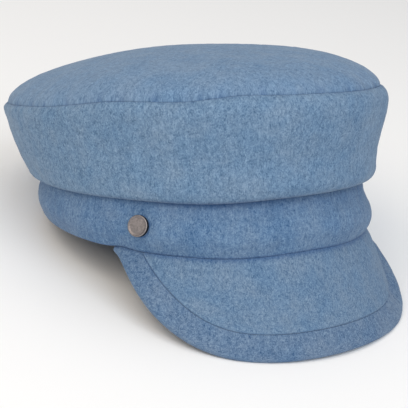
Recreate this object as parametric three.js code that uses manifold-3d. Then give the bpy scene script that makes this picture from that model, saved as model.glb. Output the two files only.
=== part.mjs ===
// A skipper cap of felted wool: a domed top, a flared crown wall, a plain band, a bound peak
// that slopes down steeply, and one metal button on the wearer's right.
//
// The cap is shaped in the frame in which it is worn, with the crown's wall upright: -Y is the
// front, -X the wearer's right and +Z up, with the hem's foremost point at height 0. It is then
// tipped back until the peak's edge and the back of the hem stand on one surface. Millimetres.

import * as THREE from 'three';
import Module from 'manifold-3d';
import { mergeVertices } from 'three/addons/utils/BufferGeometryUtils.js';

const wasm = await Module();
wasm.setup();

// Driving sizes. A size with front, side and back changes smoothly around the head.
const bandHalfWidth = 89.5;
const bandHalfLength = 102.5;
const hemRise = { front: 0, side: 10.5, back: 25 };
const bandHeight = { front: 30, side: 24.7, back: 20 };
const crownHeight = { front: 53.3, side: 47.2, back: 34.6 };
const foldOverhang = { front: 3.2, side: 2.6, back: 9 };
const crownFlare = { front: 16, side: 12.8, back: 25.7 };
const domeRise = 28.3;
const domePower = 0.55;
const feltThickness = 2.5;
const bandThickness = 3;
const peakLength = 54.8;
const peakHalfAngle = THREE.MathUtils.degToRad(77.8);
const peakSlopeFront = THREE.MathUtils.degToRad(73);
const peakSlopeSide = THREE.MathUtils.degToRad(45.5);
const peakFan = 1.055;
const peakFlatness = 4.95;
const peakTaper = 2.64;
const peakSpread = 0.4;
const peakThickness = 4.5;
const peakInset = 1.8;
const borderWidth = 14.8;
const borderThickness = 4.1;
const buttonRadius = 5.75;
const buttonThickness = 1.6;
const buttonRimWidth = 0.8;
const buttonRimDepth = 0.3;
const buttonPostRadius = 1.6;
const buttonWasherRadius = 4;
const buttonWasherThickness = 0.8;
const buttonAngle = THREE.MathUtils.degToRad(-60.9);
const buttonShare = 0.51;
const gap = 0.3;
const flattening = 0.8;

// Steps around each piece.
const ringSteps = 72;
const panelSteps = 36;
const borderSteps = 60;
const buttonSides = 24;

// The crown wall's section from the fold up to the top seam: up is the share of the wall's
// height, front and back are the shares of the way out from the overhang to the full flare, and
// inner says whether the wall's inner face follows the row too.
const crownRows = [
  { up: 0, front: -0.25, back: -0.1, inner: false },
  { up: 0.03, front: 0.12, back: 0.02, inner: false },
  { up: 0.1, front: 0.33, back: 0.08, inner: true },
  { up: 0.2, front: 0.35, back: 0.27, inner: true },
  { up: 0.35, front: 0.41, back: 0.49, inner: true },
  { up: 0.5, front: 0.58, back: 0.64, inner: true },
  { up: 0.65, front: 0.81, back: 0.74, inner: true },
  { up: 0.8, front: 1, back: 0.84, inner: true },
  { up: 0.88, front: 1.03, back: 0.91, inner: true },
  { up: 0.94, front: 0.97, back: 0.96, inner: true },
  { up: 0.98, front: 0.83, back: 0.94, inner: false },
  { up: 1, front: 0.65, back: 0.87, inner: true },
];

// The band's section from the hem up to the crown: front and back are millimetres out from the
// band's oval.
const bandRows = [
  { up: 0, front: -1.6, back: -1.2, inner: true },
  { up: 0.05, front: -0.3, back: -0.1, inner: false },
  { up: 0.15, front: 1.2, back: 0.5, inner: true },
  { up: 0.3, front: 2.2, back: 0.8, inner: true },
  { up: 0.45, front: 2.2, back: 0.9, inner: true },
  { up: 0.6, front: 1.3, back: 0.8, inner: true },
  { up: 0.75, front: 0, back: 0.5, inner: true },
  { up: 0.9, front: -1.5, back: 0, inner: true },
  { up: 1, front: -2.4, back: -0.4, inner: true },
];

// Shares of the way from the top seam to the middle of the domed top, at each ring of its skin.
const domeRows = [0, 0.025, 0.07, 0.14, 0.25, 0.4, 0.58, 0.78];

// How high the crown's turned-in edge sits above the fold's lowest line.
const foldDepth = 1.3;

// The angle is measured from the front towards the wearer's left.
function around(size, angle) {
  const mean = (size.front + size.back + 2 * size.side) / 4;
  const lean = (size.front - size.back) / 2;
  const squeeze = (size.front + size.back - 2 * size.side) / 4;
  return mean + lean * Math.cos(angle) + squeeze * Math.cos(2 * angle);
}

function blend(row, angle) {
  const frontShare = (1 + Math.cos(angle)) / 2;
  return row.front * frontShare + row.back * (1 - frontShare);
}

// A point a number of millimetres out from the band's oval, at the given height.
function ovalPoint(angle, out, height) {
  const normal = new THREE.Vector2(Math.sin(angle) / bandHalfWidth, -Math.cos(angle) / bandHalfLength);
  normal.normalize();
  return new THREE.Vector3(
    bandHalfWidth * Math.sin(angle) + out * normal.x,
    -bandHalfLength * Math.cos(angle) + out * normal.y,
    height,
  );
}

const hemHeight = (angle) => around(hemRise, angle);
const foldHeight = (angle) => hemHeight(angle) + around(bandHeight, angle);

function crownOut(row, angle) {
  return THREE.MathUtils.lerp(around(foldOverhang, angle), around(crownFlare, angle), blend(row, angle));
}

function crownPoint(row, angle, inset = 0) {
  const height = foldHeight(angle) + row.up * around(crownHeight, angle);
  return ovalPoint(angle, crownOut(row, angle) - inset, height);
}

function bandPoint(row, angle, inset = 0) {
  const height = hemHeight(angle) + row.up * (around(bandHeight, angle) + foldDepth - gap);
  return ovalPoint(angle, blend(row, angle) - inset, height);
}

// Triangles between neighbouring rows of a grid of points. Either way of the grid may close on
// itself, and each open end of the rows may be capped by a fan about its own middle.
function gridGeometry(rows, { closeRows = false, capStart = false, capEnd = false } = {}) {
  const width = rows[0].length;
  const points = rows.flat();
  const index = [];
  const lastRow = closeRows ? rows.length : rows.length - 1;
  for (let i = 0; i < lastRow; i += 1) {
    const here = i * width;
    const next = ((i + 1) % rows.length) * width;
    for (let j = 0; j < width; j += 1) {
      const k = (j + 1) % width;
      index.push(here + j, next + j, next + k);
      index.push(here + j, next + k, here + k);
    }
  }
  const fan = (start, outward) => {
    const middle = new THREE.Vector3();
    for (let j = 0; j < width; j += 1) middle.addScaledVector(points[start + j], 1 / width);
    points.push(middle);
    for (let j = 0; j < width; j += 1) {
      const edge = [start + j, start + ((j + 1) % width)];
      if (outward) edge.reverse();
      index.push(...edge, points.length - 1);
    }
  };
  if (capStart) fan(0, false);
  if (capEnd) fan((rows.length - 1) * width, true);
  const geometry = new THREE.BufferGeometry().setFromPoints(points);
  geometry.setIndex(index);
  return geometry;
}

function angles(steps, halfAngle) {
  return Array.from({ length: steps + 1 }, (_, i) => -halfAngle + (2 * halfAngle * i) / steps);
}

// A hollow ring: one closed section at each angle around the head.
function ringGeometry(section) {
  const rows = angles(ringSteps, Math.PI).slice(0, ringSteps).map(section);
  return gridGeometry(rows, { closeRows: true });
}

// The crown's wall, with its lower edge folded under and turned in over the band's top edge.
function crownSideSection(angle) {
  const outer = crownRows.map((row) => crownPoint(row, angle));
  const inner = crownRows.filter((row) => row.inner).reverse();
  const turnedEdge = foldHeight(angle) + foldDepth;
  const bandTop = bandRows.at(-1);
  const bandInside = blend(bandTop, angle) - bandThickness;
  const bandOutside = blend(bandTop, angle) + 2 * gap;
  return [
    ...outer,
    ...inner.map((row) => crownPoint(row, angle, feltThickness)),
    ovalPoint(angle, bandInside, turnedEdge + feltThickness),
    ovalPoint(angle, bandInside, turnedEdge),
    ovalPoint(angle, bandOutside, turnedEdge),
  ];
}

function bandSection(angle) {
  const outer = bandRows.map((row) => bandPoint(row, angle));
  const inner = bandRows.filter((row) => row.inner).reverse();
  return [...outer, ...inner.map((row) => bandPoint(row, angle, bandThickness))];
}

// A point of the domed top at a share of the way in from the seam to the middle.
function domePoint(share, angle, seam, middle, rise) {
  const edge = seam(angle);
  const radius = 1 - share;
  const lift = 1 - radius * radius;
  return new THREE.Vector3(
    THREE.MathUtils.lerp(middle.x, edge.x, radius),
    THREE.MathUtils.lerp(middle.y, edge.y, radius),
    edge.z + lift * (middle.z - edge.z) + rise * lift ** domePower,
  );
}

// The domed top: its outer skin from the middle to the seam, then its inner skin back again.
function crownTopGeometry() {
  const seamRow = crownRows.at(-1);
  const turn = angles(ringSteps, Math.PI).slice(0, ringSteps);
  const seamPoint = (inset) => (angle) => crownPoint(seamRow, angle, inset).add(new THREE.Vector3(0, 0, gap));
  const middle = turn
    .reduce((sum, angle) => sum.add(seamPoint(0)(angle)), new THREE.Vector3())
    .divideScalar(ringSteps);
  const skin = (inset, rise) => domeRows.map((share) => (
    turn.map((angle) => domePoint(share, angle, seamPoint(inset), middle, rise))
  ));
  const outer = skin(0, domeRise);
  const inner = skin(feltThickness, domeRise - feltThickness);
  return gridGeometry([...outer.reverse(), ...inner], { capStart: true, capEnd: true });
}

// How far the peak reaches from its root at an angle.
function peakReach(angle) {
  const share = Math.min(Math.abs(angle) / peakHalfAngle, 1);
  return peakLength * (1 - share ** peakFlatness) ** peakTaper;
}

// How far the border reaches in from the peak's edge, down the slope: its width, and more where
// the edge runs aslant to the slope.
function borderSpan(angle) {
  const share = Math.min(Math.abs(angle) / peakHalfAngle, 1);
  const fall = peakLength * peakTaper * (1 - share ** peakFlatness) ** (peakTaper - 1);
  const slant = (fall * peakFlatness * share ** (peakFlatness - 1)) / peakHalfAngle;
  const rimLength = bandHalfLength + peakSpread * peakLength;
  return borderWidth * Math.hypot(1, slant / rimLength);
}

// A point on the peak's upper face, a distance down the slope from its root under the hem.
function peakPoint(angle, distance) {
  const share = Math.abs(angle) / peakHalfAngle;
  const slope = THREE.MathUtils.lerp(peakSlopeFront, peakSlopeSide, share * share);
  const heading = peakFan * angle;
  const root = ovalPoint(angle, -peakInset, hemHeight(angle) - gap);
  return root.add(new THREE.Vector3(
    Math.sin(heading) * Math.cos(slope) * distance,
    -Math.cos(heading) * Math.cos(slope) * distance,
    -Math.sin(slope) * distance,
  ));
}

// The direction square to the peak's upper face, pointing up and out.
function peakNormal(angle, distance) {
  const step = 0.001;
  const across = peakPoint(angle + step, distance).sub(peakPoint(angle - step, distance));
  const down = peakPoint(angle, distance + 1).sub(peakPoint(angle, distance - 1));
  return down.cross(across).normalize();
}

function peakLayerPoint(angle, distance, depth) {
  return peakPoint(angle, distance).addScaledVector(peakNormal(angle, distance), -depth);
}

// The angle at which a length of the peak has fallen to the wanted one.
function angleWhere(lengthAt, wanted) {
  let near = 0;
  let far = peakHalfAngle;
  for (let i = 0; i < 40; i += 1) {
    const angle = (near + far) / 2;
    if (lengthAt(angle) > wanted) near = angle;
    else far = angle;
  }
  return near;
}

// The board-stiffened middle of the peak, from its root to the border.
function peakPanelGeometry() {
  const narrowest = 1.5;
  const shares = [0, 0.25, 0.5, 0.75, 1];
  const panelReach = (angle) => peakReach(angle) - borderSpan(angle) - gap;
  const section = (angle) => {
    const reach = panelReach(angle);
    const lower = shares.map((share) => peakLayerPoint(angle, share * reach, peakThickness));
    const upper = shares.map((share) => peakLayerPoint(angle, share * reach, 0));
    return [...lower, ...upper.reverse()];
  };
  const rows = angles(panelSteps, angleWhere(panelReach, narrowest)).map(section);
  return gridGeometry(rows, { capStart: true, capEnd: true });
}

// The wide bound edge, folded over the board, with a round outer edge.
function peakBorderGeometry() {
  const narrowest = 3;
  const radius = borderThickness / 2;
  const lowering = (peakThickness - borderThickness) / 2;
  const turns = [-1, -0.5, 0, 0.5, 1].map((share) => share * Math.PI / 2);
  const section = (angle) => {
    const reach = peakReach(angle);
    const start = Math.max(reach - borderSpan(angle), 0);
    const bulge = Math.min(radius, reach / 2);
    const edge = reach - bulge;
    const flats = [start, (2 * start + edge) / 3, (start + 2 * edge) / 3];
    const lower = flats.map((distance) => peakLayerPoint(angle, distance, lowering + borderThickness));
    const round = turns.map((turn) => (
      peakLayerPoint(angle, edge + bulge * Math.cos(turn), lowering + radius * (1 - Math.sin(turn)))
    ));
    const upper = flats.map((distance) => peakLayerPoint(angle, distance, lowering));
    return [...lower, ...round, ...upper.reverse()];
  };
  const rows = angles(borderSteps, angleWhere(peakReach, narrowest)).map(section);
  return gridGeometry(rows, { capStart: true, capEnd: true });
}

// The button: a disc with a raised rim, a post through the band and a washer behind it. Its
// origin is on the band's outer face, with +Z out of the band.
function buttonGeometry() {
  const back = 2 * gap;
  const face = back + buttonThickness;
  const washer = -bandThickness - 2 * gap;
  const dish = buttonRadius - buttonRimWidth;
  const bevel = buttonRimDepth;
  const profile = [
    [0, washer - buttonWasherThickness],
    [buttonWasherRadius, washer - buttonWasherThickness],
    [buttonWasherRadius, washer],
    [buttonPostRadius, washer],
    [buttonPostRadius, back],
    [buttonRadius - bevel, back],
    [buttonRadius, back + bevel],
    [buttonRadius, face - bevel],
    [buttonRadius - bevel, face],
    [dish, face],
    [dish - buttonRimDepth, face - buttonRimDepth],
    [0, face - buttonRimDepth],
  ].map(([radius, height]) => new THREE.Vector2(radius, height));
  return new THREE.LatheGeometry(profile, buttonSides).rotateX(Math.PI / 2);
}

// Where the button sits: the middle of its back on the band and the way it faces.
function buttonPlace() {
  const upper = bandRows.findIndex((row) => row.up > buttonShare);
  const [low, high] = [bandRows[upper - 1], bandRows[upper]];
  const share = (buttonShare - low.up) / (high.up - low.up);
  const step = 0.01;
  const at = (angle) => bandPoint(low, angle).lerp(bandPoint(high, angle), share);
  const across = at(buttonAngle + step).sub(at(buttonAngle - step));
  const upward = bandPoint(high, buttonAngle).sub(bandPoint(low, buttonAngle));
  const outward = across.cross(upward).normalize();
  const turn = new THREE.Quaternion().setFromUnitVectors(new THREE.Vector3(0, 0, 1), outward);
  return new THREE.Matrix4().compose(at(buttonAngle), turn, new THREE.Vector3(1, 1, 1));
}

function toSolid(geometry) {
  const bare = geometry.clone();
  bare.deleteAttribute('normal');
  bare.deleteAttribute('uv');
  const merged = mergeVertices(bare, 1e-4);
  return new wasm.Manifold(new wasm.Mesh({
    numProp: 3,
    vertProperties: new Float32Array(merged.attributes.position.array),
    triVerts: new Uint32Array(merged.index.array),
  }));
}

function toGeometry(solid) {
  const { vertProperties, triVerts } = solid.getMesh();
  const geometry = new THREE.BufferGeometry();
  geometry.setAttribute('position', new THREE.BufferAttribute(vertProperties, 3));
  geometry.setIndex(new THREE.BufferAttribute(triVerts, 1));
  return geometry;
}

function cut(geometry, tool) {
  return toGeometry(toSolid(geometry).subtract(toSolid(tool)));
}

// The lowest height of the given geometries in front of or behind the middle, once tipped.
function lowest(geometries, tilt, side) {
  let height = Infinity;
  const point = new THREE.Vector3();
  for (const geometry of geometries) {
    const { position } = geometry.attributes;
    for (let i = 0; i < position.count; i += 1) {
      point.fromBufferAttribute(position, i);
      if (point.y * side > 0) {
        height = Math.min(height, point.z * Math.cos(tilt) - point.y * Math.sin(tilt));
      }
    }
  }
  return height;
}

// How far the cap tips back to stand on the peak's edge and the back of the hem.
function restingTilt(geometries) {
  let low = 0;
  let high = Math.PI / 4;
  for (let i = 0; i < 40; i += 1) {
    const tilt = (low + high) / 2;
    const frontIsLower = lowest(geometries, tilt, -1) < lowest(geometries, tilt, 1);
    if (frontIsLower) low = tilt;
    else high = tilt;
  }
  return (low + high) / 2;
}

const felt = (colour) => new THREE.MeshStandardMaterial({ color: colour, roughness: 0.95, metalness: 0 });
const pewter = new THREE.MeshStandardMaterial({ color: 0x9c8f86, roughness: 0.4, metalness: 0.8 });

const place = buttonPlace();
const holeRadius = buttonPostRadius + gap;
const hole = new THREE.CylinderGeometry(holeRadius, holeRadius, 4 * bandThickness, buttonSides)
  .rotateX(Math.PI / 2)
  .applyMatrix4(place);

const pieces = [
  { name: 'crown_top', geometry: crownTopGeometry(), material: felt(0x7a93ae) },
  { name: 'crown_side', geometry: ringGeometry(crownSideSection), material: felt(0x718ca9) },
  { name: 'band', geometry: cut(ringGeometry(bandSection), hole), material: felt(0x6986a6) },
  { name: 'peak_panel', geometry: peakPanelGeometry(), material: felt(0x6f89a6) },
  { name: 'peak_border', geometry: peakBorderGeometry(), material: felt(0x6c87a4) },
];

// Tip the cap back, set it on the surface with the middle of its outline over the origin, and
// flatten the felt that bears on the surface.
const geometries = pieces.map((piece) => piece.geometry);
const tilt = restingTilt(geometries);
const toRest = new THREE.Matrix4().makeRotationX(-tilt);
const outline = new THREE.Box3();
for (const geometry of geometries) {
  geometry.applyMatrix4(toRest);
  geometry.computeBoundingBox();
  outline.union(geometry.boundingBox);
}
const middle = outline.getCenter(new THREE.Vector3());
const shift = new THREE.Vector3(-middle.x, -middle.y, -outline.min.z - flattening);
toRest.premultiply(new THREE.Matrix4().makeTranslation(shift));
const surface = new THREE.BoxGeometry(4 * bandHalfWidth, 4 * bandHalfLength, bandThickness)
  .translate(0, 0, -bandThickness / 2);

const cap = new THREE.Group();
for (const { name, geometry, material } of pieces) {
  geometry.translate(shift.x, shift.y, shift.z);
  geometry.computeBoundingBox();
  const bearsOnSurface = geometry.boundingBox.min.z < 0;
  const mesh = new THREE.Mesh(bearsOnSurface ? cut(geometry, surface) : geometry, material);
  mesh.name = name;
  cap.add(mesh);
}

const button = new THREE.Mesh(buttonGeometry(), pewter);
button.name = 'side_button';
button.applyMatrix4(toRest.clone().multiply(place));
cap.add(button);

export default cap;
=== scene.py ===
"""A skipper cap of felted wool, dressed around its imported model.

The cap is worked out in the frame in which it is worn, with its front towards -Y, the wearer's
right towards -X and +Z up, and is then tipped back until it stands on the peak's edge and the
back of the hem, as the model does. Every surface is a grid: a section loop carried around the
head, or around the peak. Lengths are metres and angles radians, measured from the front
towards the wearer's left.
"""

import logging
import math
from collections.abc import Callable
from dataclasses import dataclass, field
from enum import Enum

import bpy
import numpy as np
from mathutils import Matrix, Vector


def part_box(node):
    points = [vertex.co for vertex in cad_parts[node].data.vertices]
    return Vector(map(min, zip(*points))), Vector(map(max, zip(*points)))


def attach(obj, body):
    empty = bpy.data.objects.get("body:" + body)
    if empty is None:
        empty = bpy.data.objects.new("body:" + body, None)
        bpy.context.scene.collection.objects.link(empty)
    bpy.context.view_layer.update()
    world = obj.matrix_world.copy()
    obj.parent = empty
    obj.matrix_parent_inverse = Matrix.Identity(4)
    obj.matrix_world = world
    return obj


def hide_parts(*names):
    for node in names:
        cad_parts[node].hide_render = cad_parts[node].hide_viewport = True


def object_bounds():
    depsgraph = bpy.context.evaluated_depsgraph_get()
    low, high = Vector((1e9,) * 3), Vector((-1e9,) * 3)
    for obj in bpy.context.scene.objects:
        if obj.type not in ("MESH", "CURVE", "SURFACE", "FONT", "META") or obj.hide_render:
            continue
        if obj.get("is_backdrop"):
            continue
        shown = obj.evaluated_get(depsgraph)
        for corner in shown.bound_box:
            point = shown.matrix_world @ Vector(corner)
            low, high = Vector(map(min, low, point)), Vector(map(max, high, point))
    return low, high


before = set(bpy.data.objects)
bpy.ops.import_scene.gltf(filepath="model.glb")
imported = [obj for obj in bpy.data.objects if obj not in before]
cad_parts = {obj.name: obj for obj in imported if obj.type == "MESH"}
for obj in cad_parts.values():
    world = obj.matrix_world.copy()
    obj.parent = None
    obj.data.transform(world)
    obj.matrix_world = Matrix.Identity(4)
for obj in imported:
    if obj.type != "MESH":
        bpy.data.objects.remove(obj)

Array = np.ndarray
Rgb = tuple[float, float, float]

LOG = logging.getLogger("skipper_cap")
MM = 0.001
CLOTH_UV = "cloth"
# The point attribute of painted shade: how far a surface is darkened, from 0 to 1.
SHADE = "shade"
ROOT = "root"


class Skin(Enum):
    """Which finish a piece wears."""

    TOP = "felt_top"
    WALL = "felt_wall"
    BAND = "felt_band"
    PEAK = "felt_peak"
    BORDER = "felt_border"
    PEWTER = "pewter"


class Slot(Enum):
    """The record's material slots."""

    FELT = "wool_felt"
    METAL = "button_metal"


def bump(at: Array, width: float) -> Array:
    """A bell of height 1: e to the minus the square of the distance from its middle over width."""
    return np.exp(-((at / width) ** 2))


def smooth_step(at: Array, low: float, high: float) -> Array:
    """Rises from 0 at low to 1 at high, as 3 s squared minus 2 s cubed of the share s."""
    share = np.clip((at - low) / (high - low), 0.0, 1.0)
    return share * share * (3.0 - 2.0 * share)


def wrapped(angle: Array) -> Array:
    """Brings an angle into the turn between -pi and pi."""
    return (angle + math.pi) % (2.0 * math.pi) - math.pi


def unit(vectors: Array) -> Array:
    """Brings vectors to a length of 1."""
    return vectors / np.linalg.norm(vectors, axis=-1, keepdims=True)


def facing(turn: Array, climb: Array) -> Array:
    """Directions that turn from the front towards the wearer's left and climb from the level."""
    level = np.cos(climb)
    return np.stack([np.sin(turn) * level, -np.cos(turn) * level, np.sin(climb)], axis=-1)


def linked(name: str, data: bpy.types.ID) -> bpy.types.Object:
    """Makes an object of its data and links it to the scene."""
    made = bpy.data.objects.new(name, data)
    bpy.context.collection.objects.link(made)
    return made


def felt_relief(points: Array, height: float = 0.06 * MM, waves: int = 90) -> Array:
    """The lumpy face of felted wool: a sum of plane waves in seeded directions.

    A wave's length lies between 3 and 11 mm, and its height goes with the root of its length.

    Args:
        points: Points of the surface.
        height: The relief's root mean square.
        waves: How many waves are added.

    Returns:
        The relief at each point.
    """
    draw = np.random.default_rng(7)
    ways = unit(draw.normal(size=(waves, 3)))
    lengths = draw.uniform(3.0 * MM, 11.0 * MM, waves)
    starts = draw.uniform(0.0, 2.0 * math.pi, waves)
    heights = np.sqrt(lengths)
    heights *= height * math.sqrt(2.0) / np.linalg.norm(heights)
    total = np.zeros(points.shape[:-1])
    for way, length, start, tall in zip(ways, lengths, starts, heights):
        total += tall * np.sin(points @ way * (2.0 * math.pi / length) + start)
    return total


def smooth_loop(controls: Array, count: int) -> Array:
    """Carries a closed smooth curve through control points, at every angle at once.

    Between two controls the curve is a cubic whose end slopes are the mean of the slopes of the
    chords that meet there, each weighted by the other chord's length. The knots are the chord
    lengths averaged over the angles, and each chord gets points by the root of its length, so
    that they lie closer together where the loop bends tightly.

    Args:
        controls: The loop's corners, shaped (corners, angles, 2).
        count: How many points the curve gets.

    Returns:
        The curve's points, shaped (count, angles, 2).
    """
    corners = len(controls)
    following = np.roll(controls, -1, axis=0)
    chords = np.linalg.norm(following - controls, axis=2).mean(axis=1)
    knots = np.concatenate([[0.0], np.cumsum(chords)])
    shares = np.concatenate([[0.0], np.cumsum(np.sqrt(chords))])
    at = np.interp(np.linspace(0.0, shares[-1], count, endpoint=False), shares, knots)
    start = np.clip(np.searchsorted(knots, at, side="right") - 1, 0, corners - 1)
    end = (start + 1) % corners
    leaving = (following - controls) / chords[:, None, None]
    arriving = np.roll(leaving, 1, axis=0)
    before = np.roll(chords, 1)[:, None, None]
    after = chords[:, None, None]
    slopes = (leaving * before + arriving * after) / (before + after)
    span = chords[start][:, None, None]
    s = ((at - knots[start]) / chords[start])[:, None, None]
    return (
        (2 * s**3 - 3 * s**2 + 1) * controls[start]
        + (s**3 - 2 * s**2 + s) * span * slopes[start]
        + (3 * s**2 - 2 * s**3) * controls[end]
        + (s**3 - s**2) * span * slopes[end]
    )


@dataclass(frozen=True)
class HeadSize:
    """A size that changes smoothly around the head, in metres."""

    front: float
    side: float
    back: float

    def at(self, angle: Array) -> Array:
        """The size at an angle: a mean, plus a cosine of the angle, plus a cosine of twice it.

        Args:
            angle: Angles around the head.

        Returns:
            The size at each angle.
        """
        mean = (self.front + self.back + 2.0 * self.side) / 4.0
        lean = (self.front - self.back) / 2.0
        squeeze = (self.front + self.back - 2.0 * self.side) / 4.0
        return mean + lean * np.cos(angle) + squeeze * np.cos(2.0 * angle)


@dataclass(frozen=True)
class SectionRow:
    """A row of a wall's section: its share of the height, and its reach at front and back."""

    up: float
    front: float
    back: float
    inner: bool = True

    def blend(self, angle: Array) -> Array:
        """The row's reach at an angle, by half of one plus the cosine of the angle."""
        front_share = (1.0 + np.cos(angle)) / 2.0
        return self.front * front_share + self.back * (1.0 - front_share)


@dataclass(frozen=True)
class Drift:
    """A bell around the head: a rise near an angle, or a fall where the rise is negative.

    The angle and the width are degrees, and the rise is a length or a share of shade.
    """

    angle: float
    width: float
    rise: float

    def at(self, angle: Array) -> Array:
        """The rise times a bell of the turn from the drift's own angle."""
        turn = (np.degrees(angle) - self.angle + 180.0) % 360.0 - 180.0
        return self.rise * bump(turn, self.width)


def drifted(drifts: tuple[Drift, ...], angle: Array) -> Array:
    """The sum of some drifts at angles around the head."""
    return sum(drift.at(angle) for drift in drifts)


def waved(waves: tuple[tuple[float, float, float], ...], angle: Array) -> Array:
    """A sum of sine waves, each given by its number of turns, starting angle and height."""
    return sum(height * np.sin(turns * angle + start) for turns, start, height in waves)


@dataclass(frozen=True)
class Dent(Drift):
    """A soft swelling of the crown's wall, or a hollow where its rise is negative.

    It lies at a share of the wall's height, with a width that is a share of it too.
    """

    up: float
    up_width: float

    def over(self, angle: Array, up: Array) -> Array:
        """How far the wall stands out: the drift times a bell up the wall."""
        return self.at(angle) * bump(up - self.up, self.up_width)


@dataclass(frozen=True)
class CapForm:
    """The cap's driving sizes and the surfaces that they give, in the worn frame."""

    band_half_width: float = 0.0895
    band_half_length: float = 0.1025
    hem_rise: HeadSize = HeadSize(0.0, 0.0105, 0.025)
    band_height: HeadSize = HeadSize(0.030, 0.0247, 0.020)
    crown_height: HeadSize = HeadSize(0.0533, 0.0472, 0.0346)
    fold_overhang: HeadSize = HeadSize(0.0032, 0.0026, 0.009)
    crown_flare: HeadSize = HeadSize(0.016, 0.0128, 0.0257)
    fold_depth: float = 0.0013
    dome_rise: float = 0.0283
    dome_power: float = 0.55
    felt: float = 0.0025
    band_thickness: float = 0.003
    peak_length: float = 0.0548
    peak_half_angle: float = math.radians(77.8)
    peak_slope_front: float = math.radians(73.0)
    peak_slope_side: float = math.radians(45.5)
    peak_fan: float = 1.055
    peak_flatness: float = 4.95
    peak_taper: float = 2.64
    peak_spread: float = 0.4
    peak_thickness: float = 0.0045
    peak_inset: float = 0.0018
    border_width: float = 0.0141
    border_thickness: float = 0.0041
    gap: float = 0.0003
    flattening: float = 0.0008

    crown_rows: tuple[SectionRow, ...] = (
        SectionRow(0.0, -0.25, -0.1, False),
        SectionRow(0.03, 0.12, 0.02, False),
        SectionRow(0.1, 0.33, 0.08),
        SectionRow(0.2, 0.35, 0.27),
        SectionRow(0.35, 0.41, 0.49),
        SectionRow(0.5, 0.58, 0.64),
        SectionRow(0.65, 0.81, 0.74),
        SectionRow(0.8, 1.0, 0.84),
        SectionRow(0.88, 1.03, 0.95),
        SectionRow(0.94, 0.97, 0.99),
        SectionRow(0.98, 0.83, 0.92, False),
        SectionRow(1.0, 0.65, 0.83),
    )
    seam_drifts: tuple[Drift, ...] = (
        Drift(-137.0, 16.0, 1.8 * MM),
        Drift(-92.0, 14.0, -0.9 * MM),
        Drift(-66.0, 9.0, 0.8 * MM),
        Drift(-45.0, 9.0, -0.9 * MM),
        Drift(-28.0, 8.0, 0.9 * MM),
        Drift(14.0, 26.0, -1.3 * MM),
        Drift(80.0, 16.0, 0.6 * MM),
        Drift(125.0, 18.0, -0.6 * MM),
        Drift(172.0, 14.0, -0.5 * MM),
    )
    fold_drifts: tuple[Drift, ...] = (
        Drift(-39.0, 19.0, -1.4 * MM),
        Drift(40.0, 20.0, -0.6 * MM),
        Drift(130.0, 25.0, 0.6 * MM),
    )
    hem_drifts: tuple[Drift, ...] = (
        Drift(-78.0, 22.0, -0.6 * MM),
        Drift(-69.0, 4.5, 1.3 * MM),
        Drift(-35.0, 17.0, -1.0 * MM),
        Drift(-5.0, 15.0, 0.8 * MM),
    )
    edge_drifts: tuple[Drift, ...] = (
        Drift(-62.0, 8.0, 2.0 * MM),
        Drift(37.0, 14.0, 1.4 * MM),
        Drift(56.0, 9.0, -1.6 * MM),
    )
    border_drifts: tuple[Drift, ...] = (Drift(-52.0, 12.0, 1.6 * MM),)
    temple: Drift = Drift(54.0, 28.0, 1.9 * MM)
    temple_swell: tuple[float, float] = (0.12, 0.17)
    temple_hollow: tuple[float, float] = (0.64, 0.2)
    sag_spread: Drift = Drift(48.0, 24.0, 1.0)
    sag_depth: float = 2.4 * MM
    rim_lift: float = 1.2 * MM
    back_seam_width: float = 0.7 * MM
    band_rows: tuple[SectionRow, ...] = (
        SectionRow(0.0, -0.0016, -0.0012),
        SectionRow(0.05, -0.0003, -0.0001, False),
        SectionRow(0.15, 0.0012, 0.0005),
        SectionRow(0.3, 0.003, 0.0016),
        SectionRow(0.45, 0.0032, 0.0019),
        SectionRow(0.6, 0.0021, 0.0014),
        SectionRow(0.75, 0.0, 0.0005),
        SectionRow(0.9, -0.0015, 0.0),
        SectionRow(1.0, -0.0024, -0.0004),
    )

    def ring(self, angle: Array, out: Array, height: Array) -> Array:
        """Points at a distance out from the band's oval, along the oval's normal.

        Args:
            angle: Angles around the head.
            out: Distances out from the oval.
            height: Heights above the hem's foremost point.

        Returns:
            The points, with a last axis of 3.
        """
        across, along = np.sin(angle), -np.cos(angle)
        normal = np.stack([across / self.band_half_width, along / self.band_half_length], axis=-1)
        normal = unit(normal)
        x = self.band_half_width * across + out * normal[..., 0]
        y = self.band_half_length * along + out * normal[..., 1]
        return np.stack([x, y, height + np.zeros_like(x)], axis=-1)

    def hem_height(self, angle: Array) -> Array:
        """The height of the hem."""
        return self.hem_rise.at(angle) + drifted(self.hem_drifts, angle)

    def fold_height(self, angle: Array) -> Array:
        """The height of the fold between the crown's wall and the band."""
        return self.hem_rise.at(angle) + self.band_height.at(angle) + drifted(self.fold_drifts, angle)

    def back_seam(self, angle: Array) -> Array:
        """A narrow bell across the seam at the centre of the back."""
        return bump(wrapped(angle - math.pi) * self.band_half_width, self.back_seam_width)

    def crown_tall(self, angle: Array) -> Array:
        """How tall the crown's wall is, from the fold to the top seam."""
        seam = self.crown_height.at(angle) + drifted(self.seam_drifts, angle)
        return seam - drifted(self.fold_drifts, angle)

    def crown_corner(self, row: SectionRow, angle: Array, inset: float = 0.0) -> Array:
        """A row's corner of the crown wall's section, as distances out and heights.

        Args:
            row: The section's row.
            angle: Angles around the head.
            inset: How far inside the outer face the corner lies.

        Returns:
            The corner at each angle, with a last axis of 2.
        """
        overhang = self.fold_overhang.at(angle)
        out = overhang + row.blend(angle) * (self.crown_flare.at(angle) - overhang)
        height = self.fold_height(angle) + row.up * self.crown_tall(angle)
        return np.stack([out - inset, height], axis=-1)

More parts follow.
